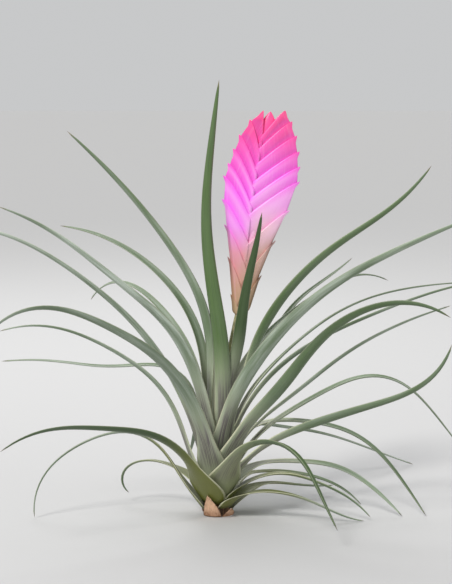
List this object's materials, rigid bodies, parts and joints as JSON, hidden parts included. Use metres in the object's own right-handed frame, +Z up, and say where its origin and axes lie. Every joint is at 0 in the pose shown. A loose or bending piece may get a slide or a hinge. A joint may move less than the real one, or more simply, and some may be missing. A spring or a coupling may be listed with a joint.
{
  "type": "flowering pink quill air plant",
  "caption": "Pink quill air plant in bud: a rosette of narrow arching green leaves round a flat pink paddle of overlapping bracts, bare-rooted.",
  "frame": {"origin": "centre of the flat underside of the stem, on the surface the plant rests on", "axes": "+Z up along the stem, -Y towards the viewer of the picture, +X to the viewer's right"},
  "size_m": [0.3473, 0.2574, 0.2801],
  "materials": {
    "stem_bark": "rough fibrous brown",
    "leaf": "satin, finely ribbed along the blade",
    "dry_sheath": "matt papery",
    "stalk": "satin",
    "bract": "satin to soft gloss"
  },
  "bodies": {
    "root": {"stem_base": "stem_bark", "leaf_01": "leaf", "leaf_02": "leaf", "leaf_03": "leaf", "leaf_04": "leaf", "leaf_05": "leaf", "leaf_06": "leaf", "leaf_07": "leaf", "leaf_08": "leaf", "leaf_09": "leaf", "leaf_10": "leaf", "leaf_11": "leaf", "leaf_12": "leaf", "leaf_13": "leaf", "leaf_14": "leaf", "leaf_15": "leaf", "leaf_16": "leaf", "leaf_17": "leaf", "leaf_18": "leaf", "leaf_19": "leaf", "leaf_20": "leaf", "leaf_21": "leaf", "leaf_22": "leaf", "leaf_23": "leaf", "leaf_24": "leaf", "leaf_25": "leaf", "leaf_26": "leaf", "leaf_27": "leaf", "leaf_28": "leaf", "leaf_29": "leaf", "leaf_30": "leaf", "leaf_31": "leaf", "leaf_32": "leaf", "leaf_33": "leaf", "dry_sheath_1": "dry_sheath", "dry_sheath_2": "dry_sheath", "dry_sheath_3": "dry_sheath", "flower_stalk": "stalk", "flower_spike": "bract"}
  },
  "joints": []
}
